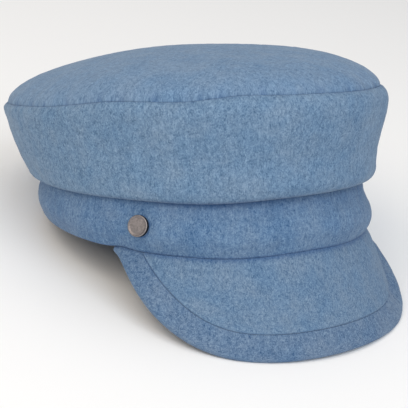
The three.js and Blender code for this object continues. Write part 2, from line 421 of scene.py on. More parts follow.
    def band_corner(self, row: SectionRow, angle: Array, inset: float = 0.0) -> Array:
        """A row's corner of the band's section, as distances out and heights.

        Args:
            row: The section's row.
            angle: Angles around the head.
            inset: How far inside the outer face the corner lies.

        Returns:
            The corner at each angle, with a last axis of 2.
        """
        hem = self.hem_height(angle)
        tall = self.fold_height(angle) - hem + self.fold_depth - self.gap
        return np.stack([row.blend(angle) - inset, hem + row.up * tall], axis=-1)

    def fullness(self, angle: Array, up: Array) -> Array:
        """How far the band stands out at the wearer's left temple.

        It swells by a bell just above the hem and sinks by another one below the fold.

        Args:
            angle: Angles around the head.
            up: Shares of the band's height.

        Returns:
            Distances out.
        """
        swell = bump(up - self.temple_swell[0], self.temple_swell[1])
        hollow = bump(up - self.temple_hollow[0], self.temple_hollow[1])
        return self.temple.at(angle) * (swell - 0.95 * hollow)

    def peak_share(self, angle: Array) -> Array:
        """The angle's share of the peak's half angle, at most 1."""
        return np.clip(np.abs(angle) / self.peak_half_angle, 0.0, 1.0)

    def peak_reach(self, angle: Array) -> Array:
        """How far the peak reaches from its root: its length times a flat-topped hump."""
        length = self.peak_length + drifted(self.edge_drifts, angle)
        return length * (1.0 - self.peak_share(angle) ** self.peak_flatness) ** self.peak_taper

    def border_span(self, angle: Array) -> Array:
        """How far the border reaches in from the peak's edge, down the slope.

        It is the border's width times the root of one plus the square of the edge's slant, which
        is the reach's fall for each radian over the rim's length for each radian.

        Args:
            angle: Angles around the head.

        Returns:
            The border's span at each angle.
        """
        share = self.peak_share(angle)
        hump = (1.0 - share**self.peak_flatness) ** (self.peak_taper - 1.0)
        bend = self.peak_flatness * share ** (self.peak_flatness - 1.0) / self.peak_half_angle
        fall = self.peak_length * self.peak_taper * hump * bend
        rim = self.band_half_length + self.peak_spread * self.peak_length
        return self.border_width * np.hypot(1.0, fall / rim) + drifted(self.border_drifts, angle)

    def sag(self, angle: Array, distance: Array) -> Array:
        """How far the peak's left side lies below its even form.

        It hangs lowest along the border's seam, by a bell across the seam that is wider on the
        panel's side, and lifts again towards the rim. It is held at the root.

        Args:
            angle: Angles around the head.
            distance: Distances down the slope.

        Returns:
            Depths to add.
        """
        reach = self.peak_reach(angle)
        off = distance - np.maximum(reach - self.border_span(angle), 0.0)
        hollow = self.sag_depth * bump(off, np.where(off < 0.0, 14.0 * MM, 8.0 * MM))
        lift = self.rim_lift * smooth_step(distance - reach, -9.0 * MM, 0.0)
        held = smooth_step(distance, 0.0, 12.0 * MM)
        return (hollow - lift) * held * self.sag_spread.at(angle)

    def angle_where(self, length_at: Callable[[Array], Array], wanted: float) -> float:
        """The angle at which a length of the peak has fallen to the wanted one.

        Args:
            length_at: The length at an angle, which falls away from the front.
            wanted: The wanted length.

        Returns:
            The angle, found by halving.
        """
        near, far = 0.0, self.peak_half_angle
        for _ in range(40):
            angle = (near + far) / 2.0
            if float(length_at(np.array(angle))) > wanted:
                near = angle
            else:
                far = angle
        return near

    def peak_face(self, angle: Array, distance: Array) -> Array:
        """Points of the peak's upper face, a distance down the slope from its root.

        The slope eases with the square of the angle's share of the half angle, and the heading
        turns out faster than the angle.

        Args:
            angle: Angles around the head.
            distance: Distances down the slope.

        Returns:
            The points, with a last axis of 3.
        """
        share = np.abs(angle) / self.peak_half_angle
        slope = self.peak_slope_front + (self.peak_slope_side - self.peak_slope_front) * share**2
        drift = drifted(self.hem_drifts, angle) * bump(distance, self.peak_length / 2.0)
        hem = self.hem_rise.at(angle) + drift
        out = self.fullness(angle, 0.0) * bump(distance, 8.0 * MM) - self.peak_inset
        root = self.ring(angle, out, hem - self.gap)
        return root + facing(self.peak_fan * angle, -slope) * distance[..., None]

    def peak_layer(self, angle: Array, distance: Array, depth: Array) -> Array:
        """Points below the peak's upper face, square to it.

        Args:
            angle: Angles around the head.
            distance: Distances down the slope.
            depth: Depths below the upper face.

        Returns:
            The points, with a last axis of 3.
        """
        turn, step = 0.001, 0.0005
        across = self.peak_face(angle + turn, distance) - self.peak_face(angle - turn, distance)
        down = self.peak_face(angle, distance + step) - self.peak_face(angle, distance - step)
        normal = unit(np.cross(down, across))
        return self.peak_face(angle, distance) - normal * (depth + self.sag(angle, distance))[..., None]


def tipped(points: Array, tilt: float) -> Array:
    """Turns points about the X axis, with their front coming down.

    Args:
        points: Points or directions, with a last axis of 3.
        tilt: The angle of the turn.

    Returns:
        The turned points.
    """
    cosine, sine = math.cos(tilt), math.sin(tilt)
    y = points[..., 1] * cosine + points[..., 2] * sine
    z = points[..., 2] * cosine - points[..., 1] * sine
    return np.stack([points[..., 0], y, z], axis=-1)


@dataclass(frozen=True)
class Standing:
    """How the worn cap is tipped back and set down on the surface."""

    tilt: float
    shift_y: float
    shift_z: float
    softness: float = 0.0003

    @classmethod
    def of(cls, form: CapForm) -> "Standing":
        """Finds how the cap stands, and where the model's box puts it.

        The tilt is halved down until the peak's edge and the back of the hem are level.

        Args:
            form: The cap's form.

        Returns:
            The cap's standing.
        """
        ring = np.linspace(-math.pi, math.pi, 73)
        hem = np.stack([form.band_corner(row, ring) for row in form.band_rows[:2]])
        hem_points = form.ring(ring, hem[..., 0], hem[..., 1]).reshape(-1, 3)
        fan = np.linspace(-1.0, 1.0, 61) * form.angle_where(form.peak_reach, 3.0 * MM)
        radius = form.border_thickness / 2.0
        lowering = (form.peak_thickness - form.border_thickness) / 2.0
        turn = np.linspace(-math.pi / 2.0, math.pi / 2.0, 5)[:, None]
        bulge = np.minimum(radius, form.peak_reach(fan) / 2.0)
        edge = form.peak_reach(fan) - bulge + bulge * np.cos(turn)
        depth = lowering + radius * (1.0 - np.sin(turn)) + np.zeros_like(edge)
        peak_points = form.peak_layer(fan + np.zeros_like(edge), edge, depth).reshape(-1, 3)

        back_points = hem_points[hem_points[:, 1] > 0.0]
        least, most = 0.0, math.pi / 4.0
        for _ in range(40):
            tilt = (least + most) / 2.0
            if tipped(peak_points, tilt)[:, 2].min() < tipped(back_points, tilt)[:, 2].min():
                least = tilt
            else:
                most = tilt
        lowest = tipped(peak_points, tilt).min(axis=0)
        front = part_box("peak_border")[0].y
        return cls(tilt, front - float(lowest[1]), -float(lowest[2]) - form.flattening)

    def turned(self, points: Array) -> Array:
        """Turns directions or points by the tilt, about the X axis."""
        return tipped(points, self.tilt)

    def placed(self, points: Array) -> Array:
        """Turns and moves points to where the cap stands."""
        return self.turned(points) + np.array([0.0, self.shift_y, self.shift_z])

    def pressed(self, points: Array) -> Array:
        """Places points and flattens what would reach below the surface.

        A height becomes half of itself plus the root of its square and the softness squared.

        Args:
            points: Points in the worn frame.

        Returns:
            The points where the cap stands, none of them below the surface.
        """
        placed = self.placed(points)
        z = placed[..., 2]
        near = z < 10.0 * self.softness
        placed[..., 2] = np.where(near, (z + np.sqrt(z**2 + self.softness**2)) / 2.0, z)
        return placed


@dataclass
class GridMesh:
    """A surface of quads over a grid of points, with a cloth UV map and an attribute of painted shade."""

    name: str
    points: Array
    uv: Array
    shade: Array
    close_rows: bool = False
    cap_ends: bool = False
    tip_ends: bool = False

    @classmethod
    def carried(cls, name: str, worn: Array, uv: Array, shade: Array, **ends: bool) -> "GridMesh":
        """A grid whose rows are a loop's sections; its faces point out if the loop runs up outside."""
        held = np.clip(shade, 0.0, 1.0)
        return cls(name, worn.transpose(1, 0, 2), uv.transpose(1, 0, 2), held.T, **ends)

    def faces(self) -> list[Array]:
        """The grid's corners, whose columns always close on themselves.

        Returns:
            Arrays of quads, and of caps or fans at the ends where asked for.
        """
        rows, columns = self.points.shape[:2]
        first = np.arange(rows if self.close_rows else rows - 1)[:, None]
        j = np.arange(columns)[None, :]
        here, there = first * columns, ((first + 1) % rows) * columns
        k = (j + 1) % columns
        quads = np.stack([here + j, there + j, there + k, here + k], axis=-1).reshape(-1, 4)
        made = [quads]
        ring = np.arange(columns)
        if self.cap_ends:
            made.append(ring[None, :])
            made.append(((rows - 1) * columns + ring[::-1])[None, :])
        if self.tip_ends:
            start, end = rows * columns, rows * columns + 1
            following = np.roll(ring, -1)
            last = (rows - 1) * columns
            made.append(np.stack([ring, following, np.full(columns, start)], axis=-1))
            made.append(np.stack([last + following, last + ring, np.full(columns, end)], axis=-1))
        return made

    def build(self) -> bpy.types.Object:
        """Puts the grid into a mesh object.

        Returns:
            The new object, at the origin, linked to the scene.
        """
        points = self.points.reshape(-1, 3)
        uv = self.uv.reshape(-1, 2)
        shade = self.shade.reshape(-1)
        if self.tip_ends:
            ends = [self.points[0].mean(axis=0), self.points[-1].mean(axis=0)]
            points = np.concatenate([points, ends])
            uv = np.concatenate([uv, [self.uv[0].mean(axis=0), self.uv[-1].mean(axis=0)]])
            shade = np.concatenate([shade, [0.0, 0.0]])
        faces = self.faces()
        corners = np.concatenate([part.reshape(-1) for part in faces])
        totals = np.concatenate([np.full(len(part), part.shape[1]) for part in faces])
        mesh = bpy.data.meshes.new(self.name)
        mesh.vertices.add(len(points))
        mesh.vertices.foreach_set("co", points.astype(np.float32).reshape(-1))
        mesh.loops.add(len(corners))
        mesh.loops.foreach_set("vertex_index", corners.astype(np.int32))
        mesh.polygons.add(len(totals))
        mesh.polygons.foreach_set("loop_start", (np.cumsum(totals) - totals).astype(np.int32))
        mesh.polygons.foreach_set("loop_total", totals.astype(np.int32))
        mesh.polygons.foreach_set("use_smooth", np.ones(len(totals), bool))
        mesh.update(calc_edges=True)
        layer = mesh.uv_layers.new(name=CLOTH_UV)
        layer.data.foreach_set("uv", uv[corners].astype(np.float32).reshape(-1))
        attribute = mesh.attributes.new(SHADE, "FLOAT", "POINT")
        attribute.data.foreach_set("value", shade.astype(np.float32))
        mesh.validate()
        return linked(self.name, mesh)


class NodeSheet:
    """A thin hand for laying out the nodes of one tree."""

    def __init__(self, tree: bpy.types.NodeTree) -> None:
        """Empties the tree that the nodes go into."""
        self.tree = tree
        tree.nodes.clear()

    def add(self, kind: str, settings: dict | None = None, **inputs: object) -> bpy.types.Node:
        """Adds a node, sets its properties, and sets or links its inputs.

        Args:
            kind: The node's type name.
            settings: The node's own properties.
            inputs: Values or sockets for its inputs, by name with _ for a space.

        Returns:
            The new node.
        """
        node = self.tree.nodes.new(kind)
        for key, value in (settings or {}).items():
            setattr(node, key, value)
        for key, value in inputs.items():
            self.feed(node.inputs[key.replace("_", " ")], value)
        return node

    def feed(self, socket: bpy.types.NodeSocket, value: object) -> None:
        """Links a socket, or sets its value."""
        if isinstance(value, bpy.types.NodeSocket):
            self.tree.links.new(value, socket)
        else:
            socket.default_value = value

    def math(self, operation: str, first: object, second: object = 0.0) -> bpy.types.NodeSocket:
        """Adds a Math node and returns its result.

        Args:
            operation: The node's operation.
            first: The first value or socket.
            second: The second value or socket.

        Returns:
            The result's socket.
        """
        node = self.tree.nodes.new("ShaderNodeMath")
        node.operation = operation
        self.feed(node.inputs[0], first)
        self.feed(node.inputs[1], second)
        return node.outputs[0]

    def spread(self, value: bpy.types.NodeSocket, low: object, high: object) -> bpy.types.NodeSocket:
        """Stretches the stretch from low to high over 0 to 1, held at both ends."""
        node = self.add("ShaderNodeMapRange", {"interpolation_type": "SMOOTHSTEP"}, Value=value)
        self.feed(node.inputs["From Min"], low)
        self.feed(node.inputs["From Max"], high)
        return node.outputs["Result"]

    def mix(
        self, factor: object, first: object, second: object, blend: str = "MIX",
    ) -> bpy.types.NodeSocket:
        """Mixes two colours.

        Args:
            factor: How much of the second colour shows.
            first: The first colour.
            second: The second colour.
            blend: How they are mixed.

        Returns:
            The mixed colour's socket.
        """
        node = self.tree.nodes.new("ShaderNodeMix")
        node.data_type = "RGBA"
        node.blend_type = blend
        self.feed(node.inputs["Factor"], factor)
        self.feed(node.inputs[6], first)
        self.feed(node.inputs[7], second)
        return node.outputs[2]

    def noise(
        self, vector: bpy.types.NodeSocket, scale: float, detail: float, rough: float, warp: float = 0.0,
    ) -> bpy.types.NodeSocket:
        """Adds a noise texture and returns its value.

        Args:
            vector: Where the noise is read.
            scale: Its scale.
            detail: Its number of finer layers.
            rough: How strong the finer layers are.
            warp: How far the noise bends itself, which draws its blobs out like worms.

        Returns:
            The value's socket.
        """
        node = self.add("ShaderNodeTexNoise", None, Vector=vector, Scale=scale, Distortion=warp)
        node.inputs["Detail"].default_value = detail
        node.inputs["Roughness"].default_value = rough
        return node.outputs[0]

    def scaled(self, vector: object, factors: object, shift: Rgb = (0.0, 0.0, 0.0)) -> bpy.types.NodeSocket:
        """Multiplies a vector by another and then moves it."""
        product = self.add("ShaderNodeVectorMath", {"operation": "MULTIPLY_ADD"})
        self.feed(product.inputs[0], vector)
        self.feed(product.inputs[1], factors)
        product.inputs[2].default_value = shift
        return product.outputs[0]

    def swing(self, value: bpy.types.NodeSocket, strength: object) -> bpy.types.NodeSocket:
        """How far a value of 0 to 1 is off its middle, times a strength."""
        return self.math("MULTIPLY", self.math("SUBTRACT", value, 0.5), strength)

    def seam_shade(self) -> bpy.types.NodeSocket:
        """The piece's own attribute of painted shade."""
        return self.add("ShaderNodeAttribute", {"attribute_name": SHADE}).outputs["Fac"]

    def relief(self, height: object, strength: float, distance: float) -> bpy.types.NodeSocket:
        """The normal of a bump that rises by a distance where the height is 1."""
        bumped = self.add("ShaderNodeBump", None, Height=height, Strength=strength, Distance=distance)
        return bumped.outputs["Normal"]

    def finish(self, inputs: dict[str, object]) -> None:
        """Ends a material with its shader.

        Args:
            inputs: Values or sockets for the shader's inputs, by name.
        """
        shader = self.add("ShaderNodeBsdfPrincipled")
        for name, value in inputs.items():
            self.feed(shader.inputs[name], value)
        self.add("ShaderNodeOutputMaterial", None, Surface=shader.outputs["BSDF"])


def blank_material(name: str) -> tuple[bpy.types.Material, NodeSheet]:
    """Makes an empty material and the sheet that its nodes are laid out on."""
    made = bpy.data.materials.new(name)
    made.use_nodes = True
    return made, NodeSheet(made.node_tree)


def linear(red: float, green: float, blue: float) -> tuple[float, float, float, float]:
    """Turns screen colour steps of 0 to 255 into a linear colour.

    Args:
        red: The red step.
        green: The green step.
        blue: The blue step.

    Returns:
        Linear red, green and blue, and an alpha of 1.
    """
    steps = np.array([red, green, blue]) / 255.0
    low, high = steps / 12.92, ((steps + 0.055) / 1.055) ** 2.4
    return (*np.where(steps <= 0.04045, low, high).tolist(), 1.0)


def socket(tree: bpy.types.NodeTree, name: str, kind: str, output: bool = False) -> None:
    """Declares a group's named input or output, of a kind such as Float, Color or Vector."""
    way = "OUTPUT" if output else "INPUT"
    tree.interface.new_socket(name, in_out=way, socket_type=f"NodeSocket{kind}")


class Heather:
    """The node group of mixed wool fibres: clumps, fibres, a nap and large worn patches."""

    NAME = "wool heather"
    SWINGS = ("Clumps", "Fibres", "Streaks", "Patches")
    SOCKETS = (
        ("Vector", ("Vector",)),
        ("Color", ("Light Wool", "Dark Wool", "Warm Cast", "Cool Cast")),
        ("Float", ("Clumps per Metre", "Nap", *SWINGS)),
    )

    @classmethod
    def group(cls) -> bpy.types.NodeTree:
        """Builds the group once and gives it back after that.

        The colour runs from the dark wool to the light one by a half plus four swings: clumps
        some millimetres across, fibres a third as large, streaks drawn out along the nap, and
        patches some centimetres across. The lighter patches are a little warmer too. The height
        is made of the clumps and the fibres.

        Returns:
            The group, with a colour and a height as its outputs.
        """
        if cls.NAME in bpy.data.node_groups:
            return bpy.data.node_groups[cls.NAME]
        tree = bpy.data.node_groups.new(cls.NAME, "ShaderNodeTree")
        for kind, names in cls.SOCKETS:
            for name in names:
                socket(tree, name, kind)
        socket(tree, "Color", "Color", output=True)
        socket(tree, "Height", "Float", output=True)
        sheet = NodeSheet(tree)
        given = sheet.add("NodeGroupInput").outputs
        dense = given["Clumps per Metre"]
        along = sheet.math("DIVIDE", dense, given["Nap"])
        stretch = sheet.add("ShaderNodeCombineXYZ", None, X=dense, Y=along, Z=dense).outputs[0]
        nap = sheet.scaled(given["Vector"], stretch)
        apart = sheet.scaled(given["Vector"], stretch, (37.0, 11.0, 5.0))
        clumps = sheet.noise(nap, 1.0, 2.0, 0.7, 0.8)
        fibres = sheet.noise(apart, 3.0, 2.0, 0.65, 1.2)
        combed = sheet.scaled(apart, (1.7, 0.12, 1.7), (3.0, 7.0, 0.0))
        streaks = sheet.noise(combed, 1.0, 2.0, 0.6, 0.3)
        patches = sheet.noise(given["Vector"], 48.0, 2.0, 0.6)
        casts = sheet.noise(sheet.scaled(given["Vector"], (1.0, 1.0, 1.0), (5.0, 3.0, 1.0)), 90.0, 3.0, 0.6)
        value = 0.5
        for noise, name in zip((clumps, fibres, streaks, patches), cls.SWINGS):
            value = sheet.math("ADD", sheet.swing(noise, given[name]), value)
        colour = sheet.mix(value, given["Dark Wool"], given["Light Wool"])
        worn = sheet.math("ADD", sheet.math("MULTIPLY", patches, 0.6), sheet.math("MULTIPLY", casts, 0.4))
        cast = sheet.mix(sheet.spread(worn, 0.3, 0.7), given["Cool Cast"], given["Warm Cast"])
        colour = sheet.mix(1.0, colour, cast, "MULTIPLY")
        height = sheet.math("ADD", clumps, sheet.math("MULTIPLY", fibres, 0.5))
        sheet.add("NodeGroupOutput", None, Color=colour, Height=height)
        return tree


@dataclass(frozen=True)
class FeltFinish:
    """One piece's felted wool. Colours are screen steps of 0 to 255."""

    skin: Skin
    wool: tuple[int, int, int]
    fade: float
    contrast: int = 44
    # The dark navy of the painted shade along the seams, at the fold, along the hem and around the button.
    seam: tuple[int, int, int] = (8, 64, 124)
    sheen_tint: tuple[int, int, int] = (205, 207, 207)
    warm_cast: Rgb = (1.05, 0.99, 0.95)
    cool_cast: Rgb = (0.94, 1.0, 1.03)
    clumps_per_metre: float = 540.0
    nap: float = 1.3
    clumps: float = 0.9
    fibres: float = 1.4
    streaks: float = 0.25
    patches: float = 0.3
    relief: float = 0.2 * MM
    sheen: float = 0.22

    def shade_of(self, steps: int) -> tuple[float, float, float, float]:
        """The wool's colour, some screen steps lighter, and greyer by the finish's fade."""
        shares = (1.0 + self.fade, 1.0, 1.0 - self.fade)
        return linear(*(level + steps * share for level, share in zip(self.wool, shares)))

    def material(self) -> bpy.types.Material:
        """Builds the finish's material.

        The piece's shade attribute paints shade into the heather: it mixes it towards the seam colour, a
        dark navy, along the seams, at the fold, along the hem and around the button.

        Returns:
            The material.
        """
        made, sheet = blank_material(self.skin.value)
        cloth = sheet.add("ShaderNodeUVMap", {"uv_map": CLOTH_UV})
        wool = sheet.add("ShaderNodeGroup", {"node_tree": Heather.group()})
        for name, value in (
            ("Vector", cloth.outputs["UV"]),
            ("Light Wool", self.shade_of(self.contrast)),
            ("Dark Wool", self.shade_of(-self.contrast)),
            ("Warm Cast", (*self.warm_cast, 1.0)),
            ("Cool Cast", (*self.cool_cast, 1.0)),
            ("Clumps per Metre", self.clumps_per_metre),
            ("Nap", self.nap),
            *((name, getattr(self, name.lower())) for name in Heather.SWINGS),
        ):
            sheet.feed(wool.inputs[name], value)
        sheet.finish({
            # Painted shade: the shade attribute mixes the wool towards the seam colour.
            "Base Color": sheet.mix(sheet.seam_shade(), wool.outputs["Color"], linear(*self.seam)),
            "Normal": sheet.relief(wool.outputs["Height"], 0.7, self.relief),
            "Roughness": 0.95,
            "Specular IOR Level": 0.12,
            "Sheen Weight": self.sheen,
            "Sheen Roughness": 0.45,
            "Sheen Tint": linear(*self.sheen_tint),
        })
        return made


@dataclass(frozen=True)
class PewterFinish:
    """The button's dull metal, a little warm, with a cloudy patina and a side painted dark as shade."""

    bright: tuple[int, int, int] = (156, 149, 149)
    dull: tuple[int, int, int] = (128, 123, 123)
    # The colour of the painted shade on the button's side and back.
    dark: tuple[int, int, int] = (28, 29, 34)
    roughness: float = 0.38

    def material(self) -> bpy.types.Material:
        """Builds the pewter.

        A noise about a millimetre across clouds the colour and the roughness, and a finer one
        roughens the surface.

        Returns:
            The material.
        """
        made, sheet = blank_material(Skin.PEWTER.value)
        place = sheet.add("ShaderNodeTexCoord").outputs["Object"]
        patina = sheet.noise(place, 900.0, 4.0, 0.65)
        grit = sheet.noise(place, 5200.0, 2.0, 0.6)
        amount = sheet.spread(patina, 0.3, 0.7)
        colour = sheet.mix(amount, linear(*self.dull), linear(*self.bright))
        sheet.finish({
            # Painted shade: the shade attribute darkens the side, the back and a ring inside the rim.
            "Base Color": sheet.mix(sheet.seam_shade(), colour, linear(*self.dark)),
            "Roughness": sheet.math("ADD", self.roughness, sheet.math("MULTIPLY", amount, 0.12)),
            "Normal": sheet.relief(grit, 0.35, 0.03 * MM),
            "Metallic": 1.0,
        })
        return made


@dataclass
class Wardrobe:
    """Makes each finish once and puts it on pieces."""

    made: dict[Skin, bpy.types.Material] = field(default_factory=dict)

    FELTS = {
        finish.skin: finish
        for finish in (
            FeltFinish(
                Skin.TOP, (93, 123, 155), 0.04, nap=1.0, clumps=0.95, fibres=1.1, streaks=0.0,
            ),
            FeltFinish(Skin.WALL, (89, 120, 151), 0.08, nap=1.5),
            FeltFinish(Skin.BAND, (78, 113, 149), 0.17, streaks=0.35, patches=0.42),
            FeltFinish(Skin.PEAK, (84, 116, 148), 0.15, nap=1.1, clumps=1.0, streaks=0.0),
            FeltFinish(
                Skin.BORDER, (79, 110, 143), 0.18,
                nap=1.0, clumps=1.1, fibres=1.6, streaks=0.0, patches=0.45,
            ),
        )
    }

    def dress(self, piece: bpy.types.Object, skin: Skin, node: str) -> None:
        """Gives a piece its finish and ties it to the frame.

        Args:
            piece: The new piece.
            skin: Its finish.
            node: The model's node that it stands for.
        """
        if skin not in self.made:
            finish = self.FELTS.get(skin) or PewterFinish()
            self.made[skin] = finish.material()
        piece.data.materials.append(self.made[skin])
        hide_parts(node)
        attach(piece, ROOT)
        low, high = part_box(node)
        own = np.array([corner[:] for corner in piece.bound_box])
        apart = np.abs(np.array([own.min(axis=0) - low, own.max(axis=0) - high])).max()
        faces = len(piece.data.polygons)
        LOG.info("%s: %d faces, %.2f mm off its node's box", piece.name, faces, apart / MM)


def ring_angles(count: int, seam_steps: int = 0) -> Array:
    """Angles once around the head, closer together beside the centre-back seam.

    Args:
        count: The number of even steps.
        seam_steps: The number of extra steps on each side of the seam.

    Returns:
        The angles, rising, without the last that would repeat the first.
    """
    even = np.linspace(-math.pi, math.pi, count, endpoint=False)
    beside = np.linspace(0.0, 0.03, seam_steps + 2)[1:-1]
    return np.unique(np.concatenate([even, -math.pi + beside, math.pi - beside]))


@dataclass
class Crown:
    """The domed top and the flared wall, with the seams that join them."""

    form: CapForm
    standing: Standing
    angles: Array = field(default_factory=lambda: ring_angles(600, 6))
    wall_points: int = 140
    dome_steps: int = 110
    lining_steps: int = 30
    # Painted shade along the top seam: how far it reaches, how strong it is, and a stretch where it is
    # fainter.
    seam_reach: float = 0.5 * MM
    seam_shade: float = 0.22
    seam_faint: Drift = Drift(-12.0, 20.0, 0.55)
    pucker_depth: float = 0.15 * MM
    curl_depth: float = 0.06 * MM
    curl_reach: float = 0.4 * MM
    wave_height: float = 0.25 * MM
    back_seam_depth: float = 0.45 * MM
    # Painted shade down the back seam.
    back_seam_shade: float = 0.5
    # Painted shade at the fold's lower edge, stronger at the front on the wearer's right.
    fold_shade: float = 0.04
    fold_front_shade: Drift = Drift(-38.0, 28.65, 0.28)
    fold_reach: float = 1.2 * MM
    slump_height: float = 0.8 * MM
    flank_height: float = 1.6 * MM
    dents: tuple[Dent, ...] = (
        Dent(-8.0, 20.05, -0.9 * MM, 0.36, 0.12),
        Dent(-62.0, 28.65, -1.0 * MM, 0.55, 0.2),
        Dent(-35.0, 17.19, 0.6 * MM, 0.25, 0.12),
        Dent(-100.0, 22.92, 0.7 * MM, 0.3, 0.18),
        Dent(-125.0, 22.92, 0.8 * MM, 0.65, 0.22),
        Dent(55.0, 28.65, 1.4 * MM, 0.5, 0.35),
        Dent(150.0, 22.92, -0.7 * MM, 0.45, 0.2),
    )

    def wall_controls(self) -> Array:
        """The corners of the wall's section: outer face, top lip, inner face and turned edge.

        Returns:
            Distances out and heights, shaped (corners, angles, 2).
        """
        form, angle = self.form, self.angles
        rows = form.crown_rows
        top = form.crown_corner(rows[-1], angle)
        lip = [
            top + np.array(step) * MM
            for step in ((-0.3, -0.1), (-0.55, -0.5), (-0.9, -1.0), (-1.9, -1.9))
        ]
        outer = [form.crown_corner(row, angle) for row in rows]
        inner = [form.crown_corner(row, angle, form.felt) for row in rows[-2::-1] if row.inner]
        edge = form.fold_height(angle) + form.fold_depth
        band_top = form.band_rows[-1].blend(angle)
        inside, outside = band_top - form.band_thickness, band_top + 2.0 * form.gap
        turned = [
            np.stack([inside, edge + form.felt], axis=-1),
            np.stack([inside - 0.2 * MM, edge + form.felt / 2.0], axis=-1),
            np.stack([inside, edge], axis=-1),
            np.stack([outside, edge], axis=-1),
        ]
        return np.stack([*outer, *lip, *inner, *turned])

    def dent(self, angle: Array, up: Array) -> Array:
        """How far the wall swells or sinks: a sum of bells, held at the seam and the fold.

        Args:
            angle: Angles around the head.
            up: Shares of the wall's height.

        Returns:
            Distances out.
        """
        held = smooth_step(up, 0.0, 0.15) * (1.0 - smooth_step(up, 0.85, 0.97))
        waves = np.sin(5.0 * angle + 3.0 * up + 0.7) * np.sin(math.pi * up)
        dents = sum(dent.over(angle, up) for dent in self.dents)
        return (dents + self.wave_height * waves) * held

    def pucker(self, angle: Array) -> Array:
        """The sewn seam's uneven pull, in short waves around the head."""
        waves = ((61.0, 0.3, 1.0), (83.0, 2.1, 0.7), (37.0, 4.0, 0.8), (109.0, 1.1, 0.4))
        return waved(waves, angle)

    def darkness(self, angle: Array) -> Array:
        """How strong the top seam's painted shade is, between none and all, in uneven stretches; it also
        sets how far the seam curls in.
        """
        waves = ((9.0, 0.4, 0.5), (23.0, 1.7, 0.35), (71.0, 3.0, 0.35), (147.0, 0.9, 0.25))
        return smooth_step(waved(waves, angle), -1.2, 1.0) * (1.0 - self.seam_faint.at(angle))

    def wall(self) -> GridMesh:
        """The flared wall, one closed loop carried around the head.

        Returns:
            The wall's grid.
        """
        form, angle = self.form, self.angles
        loop = smooth_loop(self.wall_controls(), self.wall_points)
        out, height = loop[..., 0], loop[..., 1]
        turn = np.broadcast_to(angle, out.shape)
        tall = form.crown_tall(angle)
        above_fold = height - form.fold_height(angle)
        below_seam = tall - above_fold
        up = above_fold / tall
        outer = np.arange(self.wall_points)[:, None] < self.wall_points * 0.5
        back = form.back_seam(turn) * smooth_step(up, 0.0, 0.05) * outer
        pull = self.pucker_depth * self.pucker(turn) * smooth_step(below_seam, 0.0, MM)
        out = out + self.dent(turn, up) + pull * bump(below_seam, 3.0 * MM)
        out = out - self.back_seam_depth * back
        felt = felt_relief(form.ring(turn, out, height))
        out = out + felt * smooth_step(below_seam, 0.2 * MM, 2.0 * MM)
        # Painted shade: a line below the top seam whose strength varies along it, a line down the back
        # seam, and darker felt at the fold's lower edge.
        seam = self.seam_shade * self.darkness(turn) * bump(below_seam, self.seam_reach)
        fold = (self.fold_shade + self.fold_front_shade.at(turn)) * bump(above_fold, self.fold_reach)
        shade = np.maximum(seam + self.back_seam_shade * back, fold)
        worn = self.standing.pressed(form.ring(turn, out, height))
        uv = np.stack([turn * form.band_half_length, height], axis=-1)
        return GridMesh.carried("cap_crown_wall", worn, uv, shade, close_rows=True)

    def dome(self) -> GridMesh:
        """The domed top: an outer skin from the middle to the seam, and an inner one back.

        A ring's radius is the cosine of a climb angle, and its height rises with a power of one
        less the radius squared. The lowest millimetre curls in to the seam.

        Returns:
            The dome's grid.
        """
        form, angle = self.form, self.angles
        seam = form.crown_corner(form.crown_rows[-1], angle)
        edge = form.ring(angle, seam[:, 0], seam[:, 1])
        middle = edge.mean(axis=0)

        def skin(climb: Array, inset: float, rise: float) -> Array:
            """Rings of the dome at climb angles, an inset inside the seam."""
            rim = form.ring(angle, seam[:, 0] - inset, seam[:, 1])
            radius = np.cos(climb)[:, None, None]
            lift = 1.0 - radius**2
            flat = middle[:2] + radius * (rim[None, :, :2] - middle[:2])
            level = rim[None, :, 2:] + lift * (middle[2] - rim[None, :, 2:])
            return np.concatenate([flat, level + rise * lift**form.dome_power], axis=2)

        climb = np.linspace(0.012, math.pi / 2.0 - 0.012, self.dome_steps)
        outer = skin(climb, 0.0, form.dome_rise)
        inner = skin(
            np.linspace(0.03, math.pi / 2.0 - 0.03, self.lining_steps),
            form.felt,
            form.dome_rise - form.felt,
        )
        above = outer[..., 2] - seam[:, 1]
        inward = unit(middle[:2] - outer[..., :2])
        curl = self.curl_depth * self.darkness(angle) * np.exp(-above / self.curl_reach)
        pull = bump(above, 4.0 * MM) * smooth_step(above, 0.0, MM)
        curl = curl + self.pucker_depth * self.pucker(angle) * pull
        outer[..., :2] += inward * curl[..., None]
        outer[..., 2] += self.slump(outer) + felt_relief(outer) * smooth_step(above, 0.5 * MM, 4.0 * MM)
        outer[..., 2] += self.flank(outer) * smooth_step(above, 0.0, 6.0 * MM)
        inner[..., 2] += self.slump(inner)
        rim_in = 0.6 * (inner[0] - outer[0])
        lips = [
            outer[0] + share * rim_in + np.array([0.0, 0.0, -drop])
            for share, drop in ((0.05, 0.3 * MM), (0.4, 0.55 * MM), (1.1, 0.35 * MM))
        ]
        worn = np.concatenate([outer[::-1], np.stack(lips), inner])
        shade = np.zeros(worn.shape[:2])
        # Painted shade: a line above the top seam, darker spots above it where it puckers, and the lip
        # tucked into the seam shaded evenly.
        seam_shade_line = self.seam_shade * self.darkness(angle)
        tuck = 0.12 * np.clip(self.pucker(angle), 0.0, 2.0) * bump(above[::-1], 3.5 * MM)
        shade[: len(outer)] = seam_shade_line * np.exp(-above[::-1] / self.seam_reach) + tuck
        shade[len(outer): len(outer) + len(lips)] = self.seam_shade
        placed = self.standing.pressed(worn)
        return GridMesh("cap_crown_top", placed, worn[..., :2], shade, tip_ends=True)

